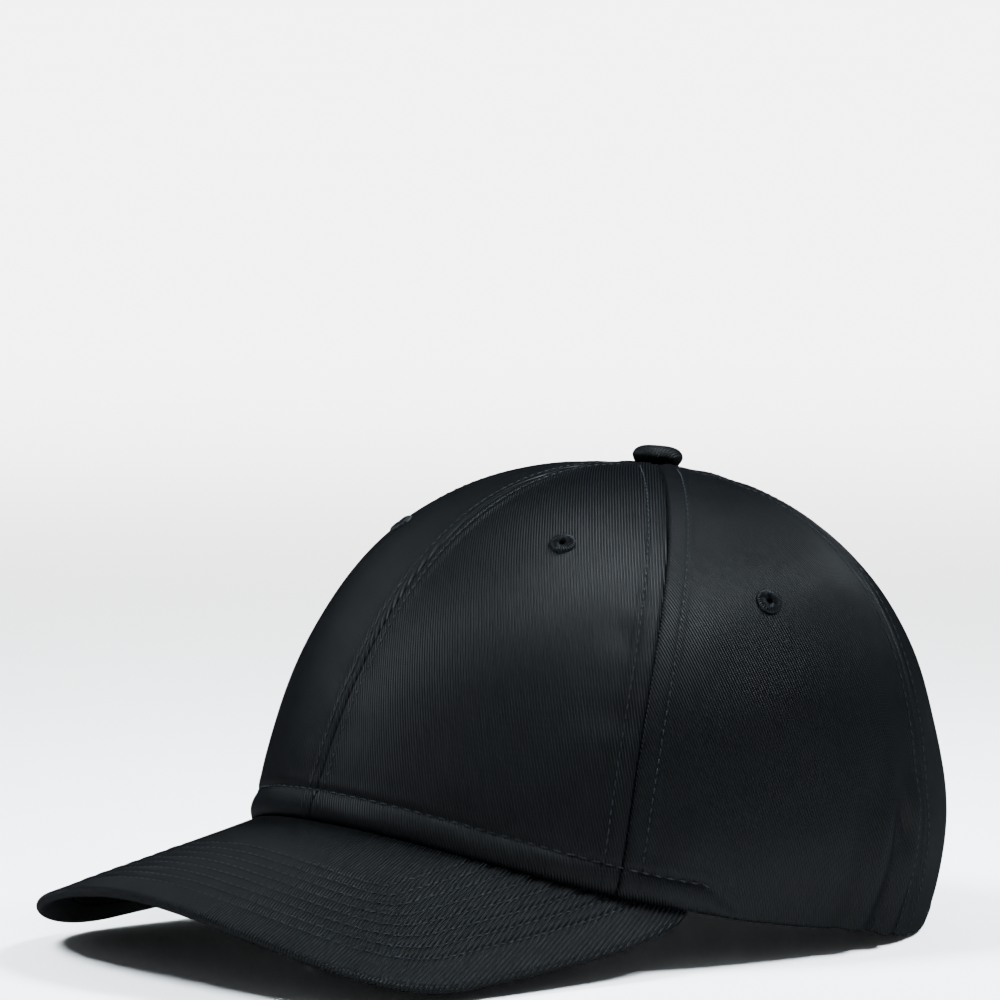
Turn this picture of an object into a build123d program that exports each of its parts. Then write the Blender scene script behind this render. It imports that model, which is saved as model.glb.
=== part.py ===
import os
from math import asin, atan2, cos, degrees, radians, sin, sqrt

from build123d import *

os.makedirs("parts", exist_ok=True)

# Frame: Z up, the visor points along -Y, the wearer's left is +X.
# The origin is on the table, straight below the button.

# crown
crown_height = 127.6
crown_side = 91.5
crown_front = 129.8
crown_back = 74.3
front_form = (1.77, 2.33, -0.05, 0.30)
side_form = (4.43, 2.15, 0.11, 0.30)
back_form = (2.125, 1.78, 0.077, 0.36)
crown_lean = 0.11
seam_angles = (0.0, 53.6, 107.2, 180.0)
top_level = 0.9994
section_turns = (2, 5, 8, 12, 16, 20, 24, 32, 40, 48, 56, 63, 70, 76, 81, 85)
cloth = 0.9
seam_gap = 0.1

# layers inside the crown cloth
buckram_layer = (1.0, 1.7)
front_tape_layer = (1.8, 2.4)
back_tape_layer = (1.0, 1.6)
tape_width = 16.0
band_layer = (2.6, 3.6)
band_rise = 34.0

# visor: a ruled sheet between two arcs that cross the cap
root_y = -53.0
root_crest = 53.16
root_radius = 103.0
tip_y = -189.0
tip_crest = 23.56
tip_radius = 143.0
sheet_half_width = 86.0
cover_skin = 0.6
board_thickness = 1.5
layer_gap = 0.05
visor_half_width = 81.8
visor_corner_y = -125.7
visor_reach = 59.3
visor_squareness = 2.47
visor_root_angle = 66.0
visor_tuck = 2.4
hem_gap = 0.6

# rim behind the visor
rim_low_angle = 132.0

# arch and closure at the back
arch_half_width = 47.0
arch_height = 52.0
binding_width = 9.0
binding_layer = (1.0, 1.7)
strap_bottom = 2.0
strap_top = 20.0
strap_thickness = 1.4
outer_strap_radius = 102.1
inner_strap_radius = 100.4
strap_centre_y = -33.5
strap_root_x = 41.0
strap_pitch = 5.4
peg_base = 1.9
peg_tip = 1.2
peg_length = 2.5
peg_hole = 2.4
tab_outer_x = 62.0

# eyelets and button
eyelet_spots = {
    "front": (30.5, 0.838),
    "side": (73.5, 0.748),
    "back": (143.0, 0.79),
}
eyelet_radius = 3.8
eyelet_bore = 0.9
eyelet_stand = 0.5
button_radius = 7.1
button_height = 5.6
button_cloth = 0.7
post_radius = 1.5
washer_radius = 6.5
washer_depth = 2.0
washer_thickness = 0.7


def form(level, shape):
    """Share of the full half width left at a level between rim and top."""
    n, m, flare, reach = shape
    level = min(max(level, 0.0), 1.0)
    taper = 1 - flare * max(0.0, 1 - level / reach) ** 2
    return (1 - level**n) ** (1 / m) * taper


def half_axes(level, inset):
    """Side, front and back half widths of the crown at one level."""
    side = crown_side * form(level, side_form) - inset
    front = crown_front * form(level, front_form) - inset
    back = crown_back * form(level, back_form) - inset
    return side, front, back


def crown_point(angle, level, inset=0.0):
    """Point on the crown; angle 0 is the front centre, 90 the wearer's left."""
    side, front, back = half_axes(level, inset)
    turn = radians(angle)
    reach = front if cos(turn) > 0 else back
    x = side * sin(turn)
    y = -reach * cos(turn)
    return x, y, (crown_height - inset) * level - crown_lean * level**2 * y


def crown_normal(angle, level):
    """Outward direction of the crown cloth at a point."""
    here = Vector(*crown_point(angle, level))
    across = Vector(*crown_point(angle + 0.1, level)) - here
    upward = Vector(*crown_point(angle, level + 0.001)) - here
    return across.cross(upward).normalized()


def level_plane(level, inset):
    """Plane of one crown section, leaning back more towards the top."""
    return Plane(
        origin=(0, 0, (crown_height - inset) * level),
        x_dir=(1, 0, 0),
        z_dir=(0, crown_lean * level**2, 1),
    )


def levels(top):
    """Section levels, closer together where the crown rounds over."""
    steps = [sin(radians(a)) for a in section_turns]
    return [-0.03] + [s for s in steps if s < top - 0.003] + [top]


def stretch(level):
    """A leaning section is this much longer from front to back."""
    return sqrt(1 + (crown_lean * level**2) ** 2)


def arc_pieces(start, end):
    """Splits a run of crown angles where front and back halves meet."""
    cuts = [start] + [c for c in (-90.0, 90.0) if start < c < end] + [end]
    return list(zip(cuts[:-1], cuts[1:]))


def wedge(start, end, inset=0.0, top=top_level):
    """Pie-shaped slice of the crown between two seams."""
    with BuildPart() as solid:
        for level in levels(top):
            side, front, back = half_axes(level, inset)
            with BuildSketch(level_plane(level, inset)):
                with BuildLine():
                    first = None
                    for a, b in arc_pieces(start, end):
                        reach = front if abs(a + b) / 2 < 90 else back
                        arc = EllipticalCenterArc(
                            (0, 0), side, reach * stretch(level), a - 90, arc_size=b - a
                        )
                        first = first or arc @ 0
                        last = arc @ 1
                    Line(last, (0, 0))
                    Line((0, 0), first)
                make_face()
        loft()
    return solid.part


def shell(start, end, layer):
    """One layer of the crown between two angles, from rim to button."""
    outer, inner = layer
    with BuildPart() as solid:
        add(wedge(start, end, outer))
        add(wedge(start - 3, end + 3, inner), mode=Mode.SUBTRACT)
    return solid.part


def band(start, end, layer, top):
    """One layer of the steep lower crown between two angles."""
    outer, inner = layer
    with BuildPart() as solid:
        for level in levels(top):
            deep = stretch(level)
            rows = [half_axes(level, inset) for inset in (outer, inner)]
            with BuildSketch(level_plane(level, (outer + inner) / 2)):
                with BuildLine():
                    ends = []
                    for side, front, back in rows:
                        for a, b in arc_pieces(start, end):
                            reach = front if abs(a + b) / 2 < 90 else back
                            arc = EllipticalCenterArc(
                                (0, 0), side, reach * deep, a - 90, arc_size=b - a
                            )
                            if a == start:
                                ends.append(arc @ 0)
                        ends.append(arc @ 1)
                    Line(ends[0], ends[2])
                    Line(ends[1], ends[3])
                make_face()
        loft()
    return solid.part


def seam_slab(angle, width=tape_width):
    """Upright slab that follows one seam from the rim to the button."""
    with BuildPart() as solid:
        for level in levels(0.992):
            x, y, z = crown_point(angle, level)
            turn = degrees(atan2(y * stretch(level), x))
            with BuildSketch(level_plane(level, 0)):
                with Locations(Location((0, 0, 0), (0, 0, turn))):
                    with Locations((76, 0)):
                        Rectangle(140, width)
        loft()
    return solid.part


def under_visor(lift):
    """Everything below the visor sheet, raised by a lift along its normal."""
    with BuildPart() as solid:
        for y, crest, radius in (
            (root_y, root_crest, root_radius),
            (tip_y, tip_crest, tip_radius),
        ):
            grown = radius + lift
            drop = grown - sqrt(grown**2 - sheet_half_width**2)
            edge = crest + lift - drop
            with BuildSketch(Plane(origin=(0, y, 0), x_dir=(1, 0, 0), z_dir=(0, -1, 0))):
                with BuildLine():
                    ThreePointArc(
                        (-sheet_half_width, edge),
                        (0, crest + lift),
                        (sheet_half_width, edge),
                    )
                    Line((sheet_half_width, edge), (sheet_half_width, -90))
                    Line((sheet_half_width, -90), (-sheet_half_width, -90))
                    Line((-sheet_half_width, -90), (-sheet_half_width, edge))
                make_face()
        loft(ruled=True)
    return solid.part


def sheet_height(x, y):
    """Height of the visor's top surface."""
    share = (root_y - y) / (root_y - tip_y)
    at_root = root_crest - root_radius + sqrt(root_radius**2 - x**2)
    at_tip = tip_crest - tip_radius + sqrt(tip_radius**2 - x**2)
    return at_root * (1 - share) + at_tip * share


def meeting_level(angle):
    """Crown level at which the visor sheet meets the crown."""
    level = 0.25
    for _ in range(30):
        x, y, z = crown_point(angle, level)
        level += 0.5 * (sheet_height(x, y) - z) / crown_height
    return level


root_height = sheet_height(
    crown_point(visor_root_angle, 0.11)[0],
    crown_point(visor_root_angle, 0.11)[1],
)


def rim_height(angle):
    """Height of the open rim behind the visor."""
    share = (angle - visor_root_angle) / (rim_low_angle - visor_root_angle)
    return root_height * (1 - min(share, 1.0)) ** 2


def under_rim(lift):
    """Everything below the open rim behind the visor, raised by a lift."""
    knots = [(root_y, root_height + lift)]
    for angle in (76, 86, 96, 106, 116, 126):
        height = rim_height(angle)
        knots.append((crown_point(angle, height / crown_height)[1], height + lift))
    knots.append((crown_point(rim_low_angle, 0)[1], lift))
    with BuildPart() as solid:
        with BuildSketch(Plane.YZ):
            with BuildLine():
                Spline(*knots, tangents=[(1, -0.28), (1, 0)])
                Line(knots[-1], (110, lift))
                Line((110, lift), (110, -90))
                Line((110, -90), (root_y, -90))
                Line((root_y, -90), knots[0])
            make_face()
        extrude(amount=130, both=True)
    return solid.part


def below_edge(lift):
    """Everything below the crown's lower edge, raised by a lift."""
    with BuildPart() as solid:
        add(under_visor(lift))
        add(under_rim(lift - hem_gap))
    return solid.part


def arch_cut(extra):
    """Upright block with the outline of the back arch, grown by a margin."""
    with BuildPart() as solid:
        with BuildSketch(Plane.XZ.offset(-15)):
            Ellipse(arch_half_width + extra, arch_height + extra)
        extrude(amount=-90)
    return solid.part


def eyelet_plane(angle, level):
    return Plane(origin=crown_point(angle, level), z_dir=crown_normal(angle, level))


def eyelet_cut(angle, level):
    """Round hole through the cloth for one eyelet."""
    with BuildPart() as solid:
        with BuildSketch(eyelet_plane(angle, level).offset(-4)):
            Circle(eyelet_radius + 0.05)
        extrude(amount=8)
    return solid.part


button_plane = Plane(
    origin=(0, 0, crown_height), x_dir=(1, 0, 0), z_dir=(0, crown_lean, 1)
)

with BuildPart() as post_hole:
    with BuildSketch(button_plane.offset(-8)):
        Circle(post_radius + 0.3)
    extrude(amount=12)

with BuildPart() as washer_room:
    with BuildSketch(button_plane.offset(-12)):
        Circle(washer_radius + 0.5)
    extrude(amount=12)

lower_cut = below_edge(hem_gap)
arch_opening = arch_cut(0)


def finish(solid, name):
    """Writes one piece with its name on it."""
    solid.label = name
    export_step(solid, f"parts/{name}.step")


# six crown panels
panel_names = ("front_panel", "side_panel", "back_panel")
for number, piece in enumerate(panel_names):
    spot = eyelet_spots[piece.split("_")[0]]
    for side_name, sign in (("left", 1), ("right", -1)):
        start = seam_angles[number] + seam_gap
        end = seam_angles[number + 1] - seam_gap
        if sign < 0:
            start, end = -end, -start
        with BuildPart() as panel:
            add(shell(start, end, (0, cloth)))
            add(lower_cut, mode=Mode.SUBTRACT)
            add(post_hole.part, mode=Mode.SUBTRACT)
            add(eyelet_cut(sign * spot[0], spot[1]), mode=Mode.SUBTRACT)
            if piece == "back_panel":
                add(arch_opening, mode=Mode.SUBTRACT)
        finish(panel.part, f"{piece}_{side_name}")

# stiff lining behind the two front panels
for side_name, sign in (("left", 1), ("right", -1)):
    start = seam_angles[0] + 2 * seam_gap
    end = seam_angles[1] - 2 * seam_gap
    if sign < 0:
        start, end = -end, -start
    spot = eyelet_spots["front"]
    with BuildPart() as buckram:
        add(shell(start, end, buckram_layer))
        add(below_edge(hem_gap + 1), mode=Mode.SUBTRACT)
        add(post_hole.part, mode=Mode.SUBTRACT)
        add(washer_room.part, mode=Mode.SUBTRACT)
        add(eyelet_cut(sign * spot[0], spot[1]), mode=Mode.SUBTRACT)
    finish(buckram.part, f"front_buckram_{side_name}")

# tapes sewn over the seams inside
tapes = {
    "front_center": (0.0, front_tape_layer),
    "front_left": (seam_angles[1], front_tape_layer),
    "front_right": (-seam_angles[1], front_tape_layer),
    "back_left": (seam_angles[2], back_tape_layer),
    "back_right": (-seam_angles[2], back_tape_layer),
    "back_center": (180.0, back_tape_layer),
}
above_band = below_edge(hem_gap + 2)
for place, (angle, layer) in tapes.items():
    with BuildPart() as tape:
        add(shell(angle - 28, angle + 28, layer))
        add(seam_slab(angle), mode=Mode.INTERSECT)
        add(above_band, mode=Mode.SUBTRACT)
        add(washer_room.part, mode=Mode.SUBTRACT)
        if place == "back_center":
            add(arch_cut(binding_width + 0.5), mode=Mode.SUBTRACT)
        if place in ("front_left", "front_right"):
            add(seam_slab(0.0, tape_width + 0.4), mode=Mode.SUBTRACT)
    finish(tape.part, f"seam_tape_{place}")

# sweatband round the inside of the rim, open at the arch
band_limit = below_edge(hem_gap + 1.5 + band_rise)
with BuildPart() as band_gap:
    with Locations((0, 60, 30)):
        Box(2 * (tab_outer_x + 3), 120, 140)
with BuildPart() as sweatband:
    add(band(-150, 150, band_layer, 0.7))
    add(below_edge(hem_gap + 1.5), mode=Mode.SUBTRACT)
    add(band_limit, mode=Mode.INTERSECT)
    add(band_gap.part, mode=Mode.SUBTRACT)
finish(sweatband.part, "sweatband")

# folded tape round the edge of the arch
with BuildPart() as binding:
    add(band(128, 232, binding_layer, 0.66))
    add(arch_cut(binding_width), mode=Mode.INTERSECT)
    add(arch_opening, mode=Mode.SUBTRACT)
    add(lower_cut, mode=Mode.SUBTRACT)
finish(binding.part, "back_arch_binding")

# embroidered ring round each air hole
for place, (angle, level) in eyelet_spots.items():
    depth = 2.0 if place == "front" else 1.2
    for side_name, sign in (("left", 1), ("right", -1)):
        spot = Vector(*crown_point(sign * angle, level))
        out = crown_normal(sign * angle, level)
        along = out.cross(Vector(0, 0, 1)).normalized()
        with BuildPart() as ring:
            with BuildSketch(Plane(origin=spot, x_dir=along, z_dir=along.cross(out))):
                with Locations(((eyelet_bore + eyelet_radius) / 2, (eyelet_stand - depth) / 2)):
                    RectangleRounded(eyelet_radius - eyelet_bore, eyelet_stand + depth, 0.4)
            revolve(axis=Axis(spot, out))
        finish(ring.part, f"eyelet_{place}_{side_name}")

# covered button, its metal core with the rivet, and the washer inside
button_side = Plane(
    origin=(0, 0, crown_height),
    x_dir=(1, 0, 0),
    z_dir=Vector(1, 0, 0).cross(Vector(0, crown_lean, 1)),
)
button_axis = Axis((0, 0, crown_height), (0, crown_lean, 1))


def dome_profile(radius, height, base):
    """Half outline of a round pad with soft shoulders."""
    with BuildLine() as line:
        Spline(
            (0, height),
            (radius * 0.72, height - (height - base) * 0.17),
            (radius, base + (height - base) * 0.42),
            (radius * 0.93, base),
            tangents=[(1, 0), (-0.35, -1)],
        )
        Line((radius * 0.93, base), (0, base))
        Line((0, base), (0, height))
    return line.line


core_radius = button_radius - button_cloth
core_height = button_height - button_cloth
core_base = 0.3 + button_cloth

with BuildPart() as button_cover:
    with BuildSketch(button_side):
        with BuildLine():
            add(dome_profile(button_radius, button_height, 0.3))
        make_face()
    revolve(axis=button_axis)
    with BuildSketch(button_side):
        with BuildLine():
            add(dome_profile(core_radius + 0.05, core_height + 0.05, core_base - 0.05))
        make_face()
    revolve(axis=button_axis, mode=Mode.SUBTRACT)
    with BuildSketch(button_plane):
        Circle(post_radius + 0.5)
    extrude(amount=1.2, mode=Mode.SUBTRACT)
finish(button_cover.part, "button_cover")

with BuildPart() as button_core:
    with BuildSketch(button_side):
        with BuildLine():
            add(dome_profile(core_radius, core_height, core_base))
        make_face()
    revolve(axis=button_axis)
    with BuildSketch(button_plane.offset(-washer_depth - washer_thickness - 0.9)):
        Circle(post_radius)
    extrude(amount=washer_depth + washer_thickness + 2.2)
    with BuildSketch(button_plane.offset(-washer_depth - washer_thickness - 0.9)):
        Circle(post_radius + 1.2)
    extrude(amount=0.8)
finish(button_core.part, "button_core")

with BuildPart() as button_washer:
    with BuildSketch(button_plane.offset(-washer_depth - washer_thickness)):
        Circle(washer_radius)
        Circle(post_radius + 0.3, mode=Mode.SUBTRACT)
    extrude(amount=washer_thickness)
finish(button_washer.part, "button_washer")

# visor: stiff board between a top cover and an under cover
visor_back_y = root_y - 1.0


def visor_plan(inset):
    """Plan outline of the visor, drawn in by an inset along its outer edge."""
    root_x, root_line, _ = crown_point(visor_root_angle, meeting_level(visor_root_angle))
    half = [
        (root_x - visor_tuck - inset, root_line),
        (visor_half_width - 1.3 - inset, -62.0),
        (visor_half_width + 0.3 - inset, -80.0),
        (visor_half_width + 0.5 - inset, -104.0),
    ]
    for turn in range(0, 90, 12):
        across = cos(radians(turn)) ** (2 / visor_squareness)
        ahead = sin(radians(turn)) ** (2 / visor_squareness)
        x = (visor_half_width - inset) * across
        half.append((x, visor_corner_y - (visor_reach - inset) * ahead))
    outer = half + [(0, visor_corner_y - visor_reach + inset)]
    outer += [(-x, y) for x, y in reversed(half)]
    inner = []
    for step in range(-6, 7):
        angle = step * visor_root_angle / 6
        inset_here = 2.4 + 2.8 * (step / 6) ** 4
        inner.append(crown_point(angle, meeting_level(angle), inset_here)[:2])
    with BuildPart() as solid:
        with BuildSketch(Plane.XY.offset(-30)):
            with BuildLine():
                Spline(*outer)
                Line(outer[-1], inner[0])
                Spline(*inner)
                Line(inner[-1], outer[0])
            make_face()
        extrude(amount=110)
        with Locations((0, visor_back_y + 50, 0)):
            Box(300, 100, 300, mode=Mode.SUBTRACT)
    return solid.part


full_plan = visor_plan(0)
inner_plan = visor_plan(cover_skin)
board_plan = visor_plan(cover_skin + layer_gap)
board_top = cover_skin + layer_gap
board_base = board_top + board_thickness
under_top = board_base + layer_gap
under_base = under_top + cover_skin

with BuildPart() as top_cover:
    add(under_visor(0))
    add(under_visor(-under_base), mode=Mode.SUBTRACT)
    add(full_plan, mode=Mode.INTERSECT)
with BuildPart() as cover_core:
    add(under_visor(-cover_skin))
    add(inner_plan, mode=Mode.INTERSECT)
with BuildPart() as visor_top_cover:
    add(top_cover.part)
    add(cover_core.part, mode=Mode.SUBTRACT)
finish(visor_top_cover.part, "visor_top_cover")

for name, upper, lower in (
    ("visor_board", board_top, board_base),
    ("visor_under_cover", under_top, under_base),
):
    with BuildPart() as sheet:
        add(under_visor(-upper))
        add(under_visor(-lower), mode=Mode.SUBTRACT)
        add(board_plan, mode=Mode.INTERSECT)
    finish(sheet.part, name)

# snap closure across the arch
strap_middle = (strap_bottom + strap_top) / 2
strap_height = strap_top - strap_bottom


def strap_angle(x, radius):
    """Angle round the strap centre of a point with this x."""
    return 90 - degrees(asin(x / radius))


def strap_plan(radius, start, sweep):
    """Curved strip seen from above, with a round knuckle at its start."""
    middle = radius - strap_thickness / 2
    knuckle = (
        middle * cos(radians(start)),
        strap_centre_y + middle * sin(radians(start)),
    )
    with BuildSketch(Plane.XY.offset(strap_bottom)) as plan:
        with BuildLine():
            outer = CenterArc((0, strap_centre_y), radius, start, sweep)
            inner = CenterArc((0, strap_centre_y), radius - strap_thickness, start, sweep)
            Line(outer @ 0, inner @ 0)
            Line(outer @ 1, inner @ 1)
        make_face()
        with Locations(knuckle):
            Circle(strap_thickness / 2)
    return plan.sketch


def radial_plane(angle, radius):
    """Plane that faces outwards on the strap, half way up."""
    turn = radians(angle)
    return Plane(
        origin=(radius * cos(turn), strap_centre_y + radius * sin(turn), strap_middle),
        x_dir=(0, 0, 1),
        z_dir=(cos(turn), sin(turn), 0),
    )


outer_start = strap_angle(strap_root_x, outer_strap_radius - strap_thickness / 2)
inner_start = strap_angle(-strap_root_x, inner_strap_radius - strap_thickness / 2)
outer_sweep = 103.8 - outer_start
inner_sweep = 76.2 - inner_start

with BuildPart() as strap_outer:
    add(strap_plan(outer_strap_radius, outer_start, outer_sweep))
    extrude(amount=strap_height)
    for number in range(-3, 3):
        with BuildSketch(radial_plane(90 + number * strap_pitch, outer_strap_radius - 3)):
            Circle(peg_hole)
        extrude(amount=5, mode=Mode.SUBTRACT)
finish(strap_outer.part, "strap_outer")

with BuildPart() as strap_inner:
    add(strap_plan(inner_strap_radius, inner_start, inner_sweep))
    extrude(amount=strap_height)
    for number in range(-2, 4):
        spot = radial_plane(90 + number * strap_pitch, inner_strap_radius - 0.1)
        with Locations(spot.location):
            Cone(
                peg_base,
                peg_tip,
                peg_length + 0.1,
                align=(Align.CENTER, Align.CENTER, Align.MIN),
            )
finish(strap_inner.part, "strap_inner")

for side_name, sign, layer in (("left", 1, (2.1, 3.4)), ("right", -1, (3.8, 5.1))):
    middle_angle = 180 - sign * 38.5
    with BuildPart() as tab:
        add(band(middle_angle - 12, middle_angle + 12, layer, 0.3))
        with Locations((sign * (strap_root_x + 1.3 + tab_outer_x) / 2, 40, strap_middle)):
            Box(
                tab_outer_x - strap_root_x - 1.3,
                80,
                strap_height,
                mode=Mode.INTERSECT,
            )
    finish(tab.part, f"strap_tab_{side_name}")
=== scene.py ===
import math

import bpy
import numpy as np
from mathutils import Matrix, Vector


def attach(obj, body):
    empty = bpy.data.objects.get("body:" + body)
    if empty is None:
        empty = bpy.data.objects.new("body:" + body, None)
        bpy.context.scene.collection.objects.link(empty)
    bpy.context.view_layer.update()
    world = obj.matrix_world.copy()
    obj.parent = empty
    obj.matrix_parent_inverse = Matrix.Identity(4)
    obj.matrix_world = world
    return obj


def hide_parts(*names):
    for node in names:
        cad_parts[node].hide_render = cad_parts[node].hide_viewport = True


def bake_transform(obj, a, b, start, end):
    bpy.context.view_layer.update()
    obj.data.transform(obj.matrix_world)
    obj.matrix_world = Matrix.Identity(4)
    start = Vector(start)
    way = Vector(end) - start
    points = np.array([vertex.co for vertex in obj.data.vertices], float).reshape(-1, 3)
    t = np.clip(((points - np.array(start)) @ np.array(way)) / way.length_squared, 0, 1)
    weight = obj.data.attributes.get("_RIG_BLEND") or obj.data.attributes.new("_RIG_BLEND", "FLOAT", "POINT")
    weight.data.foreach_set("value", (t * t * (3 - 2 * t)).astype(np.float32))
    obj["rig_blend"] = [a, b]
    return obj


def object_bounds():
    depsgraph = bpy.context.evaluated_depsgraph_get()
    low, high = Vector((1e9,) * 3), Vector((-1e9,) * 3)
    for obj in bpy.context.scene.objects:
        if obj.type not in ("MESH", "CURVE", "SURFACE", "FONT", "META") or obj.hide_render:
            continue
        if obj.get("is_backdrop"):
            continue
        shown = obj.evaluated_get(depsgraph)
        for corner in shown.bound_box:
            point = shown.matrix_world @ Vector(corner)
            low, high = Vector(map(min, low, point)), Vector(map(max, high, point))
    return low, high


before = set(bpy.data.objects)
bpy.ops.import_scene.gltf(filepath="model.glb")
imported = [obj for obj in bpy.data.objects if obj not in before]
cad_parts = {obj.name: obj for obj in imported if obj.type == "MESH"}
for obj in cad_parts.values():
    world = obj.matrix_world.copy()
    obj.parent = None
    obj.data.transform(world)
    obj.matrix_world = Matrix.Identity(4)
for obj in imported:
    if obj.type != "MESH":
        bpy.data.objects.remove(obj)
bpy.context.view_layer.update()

# Lengths are in millimetres until a mesh is made. Angle 0 is the front centre of the
# crown and 90 the wearer's left; a level is a share of the crown's height.
MM = 0.001
CROWN_HEIGHT = 127.6
CROWN_SIDE = 91.5
CROWN_FRONT = 129.8
CROWN_BACK = 74.3
FRONT_FORM = (1.77, 2.33, -0.05, 0.30)
SIDE_FORM = (4.43, 2.15, 0.11, 0.30)
BACK_FORM = (2.125, 1.78, 0.077, 0.36)
CROWN_LEAN = 0.11
SEAMS = (0.0, 53.6, 107.2, 180.0)
TOP_LEVEL = 0.9994
CLOTH = 0.9
SEAM_GAP = 0.02

ROOT_Y, ROOT_CREST, ROOT_RADIUS = -53.0, 53.16, 103.0
TIP_Y, TIP_CREST, TIP_RADIUS = -189.0, 23.56, 143.0
VISOR_ANGLE = 66.0
VISOR_THICK = 2.8
EDGE_RADIUS = VISOR_THICK / 2
COVER = 0.45
RIM_LOW_ANGLE = 132.0
HEM_LIFT = 0.3
HEM_ROLL = 8.4
ARCH_HALF_WIDTH, ARCH_HEIGHT = 47.0, 52.0
BAND_RISE = 34.0
BAND_HALF_GAP = 65.0
BAND_DEPTH, BAND_THICK = 2.7, 0.7
BAND_ROWS = (4.2, BAND_RISE - 1.2)
ARCH_ROWS = (2.0, 8.2)
SEAM_TOP_GAP = 9.0
EYELETS = {"front": (30.5, 0.838), "side": (73.5, 0.748), "back": (143.0, 0.79)}
EYELET_RADIUS, EYELET_BORE = 3.8, 0.65
EYELET_WRAPS, EYELET_SINK, EYELET_RISE = 30, 0.25, 1.15
BUTTON_RADIUS, BUTTON_HEIGHT, BUTTON_LOW, BUTTON_CLOTH = 7.1, 5.6, 0.3, 0.65
STITCH_PITCH = 2.6
RIB_PITCH = 0.74
RIB_LEAN = 22.0
ROW_FIRST, ROW_STEP, ROW_COUNT = 11.0, 4.45, 8
SIDES = (("left", 1), ("right", -1))

random = np.random.default_rng(20)


# --- shape of the crown


def ease(value, low, high):
    share = np.clip((value - low) / (high - low), 0, 1)
    return share * share * (3 - 2 * share)


def bell(value, centre, width):
    return np.exp(-(((value - centre) / width) ** 2))


def norm(vectors):
    return np.linalg.norm(vectors, axis=-1)


def unit(vectors):
    return vectors / np.maximum(np.linalg.norm(vectors, axis=-1, keepdims=True), 1e-12)


def matched(angle, level):
    return np.broadcast_arrays(np.asarray(angle, float), np.asarray(level, float))


def between(field, row, column):
    """Value of a grid at rows and columns that aren't whole numbers."""
    row = np.clip(row, 0, field.shape[0] - 1.001)
    column = np.clip(column, 0, field.shape[1] - 1.001)
    i, j = row.astype(int), column.astype(int)
    f, g = row - i, column - j
    low = field[i, j] * (1 - g) + field[i, j + 1] * g
    high = field[i + 1, j] * (1 - g) + field[i + 1, j + 1] * g
    return low * (1 - f) + high * f


def run_length(curve):
    """Length along a curve up to each of its points."""
    return np.concatenate([[0], np.cumsum(norm(np.diff(curve, axis=0)))])


def picked(curve, along, marks):
    """Points of a curve at the given lengths along it."""
    return np.stack([np.interp(marks, along, column) for column in curve.T], -1)


def form(level, shape):
    """Share of the crown's full reach that is left at a level."""
    n, m, flare, reach = shape
    level = np.clip(level, 0.0, 1.0)
    taper = 1 - flare * np.maximum(0.0, 1 - level / reach) ** 2
    return (1 - level**n) ** (1 / m) * taper


def crown(angle, level):
    """Points of the crown's outer surface."""
    angle, level = matched(angle, level)
    turn = np.radians(angle)
    front = CROWN_FRONT * form(level, FRONT_FORM)
    back = CROWN_BACK * form(level, BACK_FORM)
    x = CROWN_SIDE * form(level, SIDE_FORM) * np.sin(turn)
    y = -np.where(np.cos(turn) > 0, front, back) * np.cos(turn)
    return np.stack([x, y, CROWN_HEIGHT * level - CROWN_LEAN * level**2 * y], -1)


def crown_normal(angle, level):
    level = np.minimum(level, 0.9985)
    across = crown(angle + 0.1, level) - crown(angle - 0.1, level)
    upward = crown(angle, level + 0.0008) - crown(angle, level - 0.0008)
    return unit(np.cross(across, upward))


def sheet_height(x, y):
    """Height of the visor's top surface."""
    share = (ROOT_Y - y) / (ROOT_Y - TIP_Y)
    at_root = ROOT_CREST - ROOT_RADIUS + np.sqrt(ROOT_RADIUS**2 - x**2)
    at_tip = TIP_CREST - TIP_RADIUS + np.sqrt(TIP_RADIUS**2 - x**2)
    return at_root * (1 - share) + at_tip * share


def meeting_level(angle, lift=0.0):
    """Level where the crown meets the visor's top surface."""
    level = np.full(np.shape(angle), 0.25)
    for _ in range(30):
        x, y, z = np.moveaxis(crown(angle, level), -1, 0)
        level = level + 0.5 * (sheet_height(x, y) + lift - z) / CROWN_HEIGHT
    return level


root_spot = crown(VISOR_ANGLE, 0.11)
ROOT_HEIGHT = float(sheet_height(root_spot[0], root_spot[1]))


def rim_height(angle):
    share = (np.abs(angle) - VISOR_ANGLE) / (RIM_LOW_ANGLE - VISOR_ANGLE)
    return ROOT_HEIGHT * (1 - np.clip(share, 0, 1)) ** 2


def edge_level(angle):
    """Level of the crown's lower edge, without the arch."""
    over_visor = meeting_level(np.clip(angle, -VISOR_ANGLE, VISOR_ANGLE), HEM_LIFT)
    behind = rim_height(angle) / CROWN_HEIGHT
    return np.where(np.abs(angle) <= VISOR_ANGLE, over_visor, behind)


def back_spot(x, z):
    """Angle and level of the crown's back at a given x and z."""
    level = np.clip(z / CROWN_HEIGHT, -0.03, 0.9)
    for _ in range(12):
        share = np.clip(x / (CROWN_SIDE * form(level, SIDE_FORM)), -1, 1)
        angle = 180 - np.degrees(np.arcsin(share))
        y = -CROWN_BACK * form(level, BACK_FORM) * np.cos(np.radians(angle))
        level = (z + CROWN_LEAN * level**2 * y) / CROWN_HEIGHT
    return angle, level


def arch_spot(turn):
    """Angle and level of a point on the arch; turn 0 is its foot and 90 its crest."""
    turn = np.radians(turn)
    return back_spot(ARCH_HALF_WIDTH * np.cos(turn), ARCH_HEIGHT * np.sin(turn))


ARCH_ANGLES, ARCH_LEVELS = arch_spot(np.linspace(0, 90, 200))
ARCH_POINTS = crown(ARCH_ANGLES, ARCH_LEVELS)


def bottom_level(angle):
    """Level of the crown's lower edge with the arch cut out."""
    size = np.abs(angle)
    over_arch = np.interp(size, ARCH_ANGLES, ARCH_LEVELS)
    return np.where(size > ARCH_ANGLES[0], over_arch, edge_level(angle))


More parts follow.
